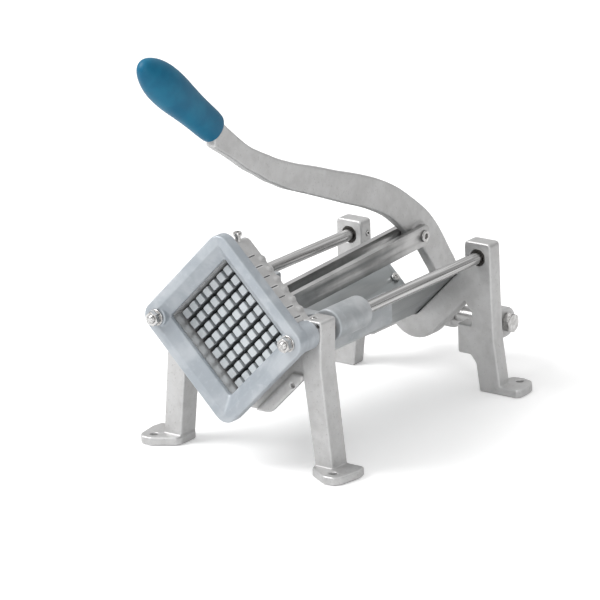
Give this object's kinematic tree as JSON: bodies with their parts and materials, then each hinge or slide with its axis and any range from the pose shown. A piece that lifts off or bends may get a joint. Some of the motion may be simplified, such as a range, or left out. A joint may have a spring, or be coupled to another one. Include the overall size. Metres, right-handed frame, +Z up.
{
  "type": "potato dicer",
  "caption": "Lever-operated potato dicer: a blade grid on two cast frames, a pegged pusher on guide rods, a V trough, flat links and a long lever with a grip.",
  "frame": {"origin": "on the table plane, under the middle of the bounding box", "axes": "+Y from the blade grid to the rear frame, +X to the side of the pivot bolt's head, +Z up"},
  "size_m": [0.262, 0.5249, 0.4468],
  "materials": {
    "front_frame": "as-cast, light grey",
    "rear_frame": "as-cast, light grey",
    "front_plate": "satin blue-grey coating",
    "blade_cassette": "as-cast, light grey",
    "cassette_screw": "bright",
    "guide_rod_near": "bright",
    "guide_rod_far": "bright",
    "front_nut_near": "bright",
    "front_nut_far": "bright",
    "front_washer_near": "bright",
    "front_washer_far": "bright",
    "trough": "satin blue-grey coating",
    "trough_screw_near": "bright",
    "trough_screw_far": "bright",
    "front_set_screw_near": "bright",
    "front_set_screw_far": "bright",
    "rear_set_screw_near": "bright",
    "rear_set_screw_far": "bright",
    "pivot_bolt": "bright",
    "pivot_nut": "bright",
    "spacer_tube_near": "bright",
    "spacer_tube_far": "bright",
    "blade_front_1": "ground edge",
    "blade_front_2": "ground edge",
    "blade_front_3": "ground edge",
    "blade_front_4": "ground edge",
    "blade_front_5": "ground edge",
    "blade_front_6": "ground edge",
    "blade_front_7": "ground edge",
    "blade_rear_1": "ground edge",
    "blade_rear_2": "ground edge",
    "blade_rear_3": "ground edge",
    "blade_rear_4": "ground edge",
    "blade_rear_5": "ground edge",
    "blade_rear_6": "ground edge",
    "blade_rear_7": "ground edge",
    "pusher": "satin blue-grey coating",
    "slide_bushing_near": "sintered bronze",
    "slide_bushing_far": "sintered bronze",
    "lever": "as-cast, light grey",
    "grip": "blue vinyl, satin",
    "link_pin": "bright",
    "link_near": "bright",
    "link_far": "bright",
    "link_screw_near": "bright",
    "link_screw_far": "bright"
  },
  "bodies": {
    "frame": {"front_frame": "front_frame", "rear_frame": "rear_frame", "front_plate": "front_plate", "blade_cassette": "blade_cassette", "cassette_screw": "cassette_screw", "guide_rod_near": "guide_rod_near", "guide_rod_far": "guide_rod_far", "front_nut_near": "front_nut_near", "front_nut_far": "front_nut_far", "front_washer_near": "front_washer_near", "front_washer_far": "front_washer_far", "trough": "trough", "trough_screw_near": "trough_screw_near", "trough_screw_far": "trough_screw_far", "front_set_screw_near": "front_set_screw_near", "front_set_screw_far": "front_set_screw_far", "rear_set_screw_near": "rear_set_screw_near", "rear_set_screw_far": "rear_set_screw_far", "pivot_bolt": "pivot_bolt", "pivot_nut": "pivot_nut", "spacer_tube_near": "spacer_tube_near", "spacer_tube_far": "spacer_tube_far", "blade_front_1": "blade_front_1", "blade_front_2": "blade_front_2", "blade_front_3": "blade_front_3", "blade_front_4": "blade_front_4", "blade_front_5": "blade_front_5", "blade_front_6": "blade_front_6", "blade_front_7": "blade_front_7", "blade_rear_1": "blade_rear_1", "blade_rear_2": "blade_rear_2", "blade_rear_3": "blade_rear_3", "blade_rear_4": "blade_rear_4", "blade_rear_5": "blade_rear_5", "blade_rear_6": "blade_rear_6", "blade_rear_7": "blade_rear_7"},
    "pusher": {"pusher": "pusher", "slide_bushing_near": "slide_bushing_near", "slide_bushing_far": "slide_bushing_far"},
    "lever": {"lever": "lever", "grip": "grip", "link_pin": "link_pin"},
    "links": {"link_near": "link_near", "link_far": "link_far", "link_screw_near": "link_screw_near", "link_screw_far": "link_screw_far"}
  },
  "joints": [
    {"name": "lever_hinge", "type": "hinge", "parent": "frame", "child": "lever", "pos_m": [0, 0.246, 0.0546], "axis": [-1, 0, 0], "range_deg": [0, 60]},
    {"name": "pusher_slide", "type": "slide", "parent": "frame", "child": "pusher", "axis": [0, 1, 0], "range_m": [0, 0.125]},
    {"name": "link_hinge", "type": "hinge", "parent": "lever", "child": "links", "pos_m": [0, 0.1785, 0.1585], "axis": [1, 0, 0], "range_deg": [0, 64.3]}
  ],
  "couplings": [
    {"joint": "pusher_slide", "follows": "lever_hinge", "m_per_rad": 0.11935},
    {"joint": "link_hinge", "follows": "lever_hinge", "ratio": 1.07}
  ]
}
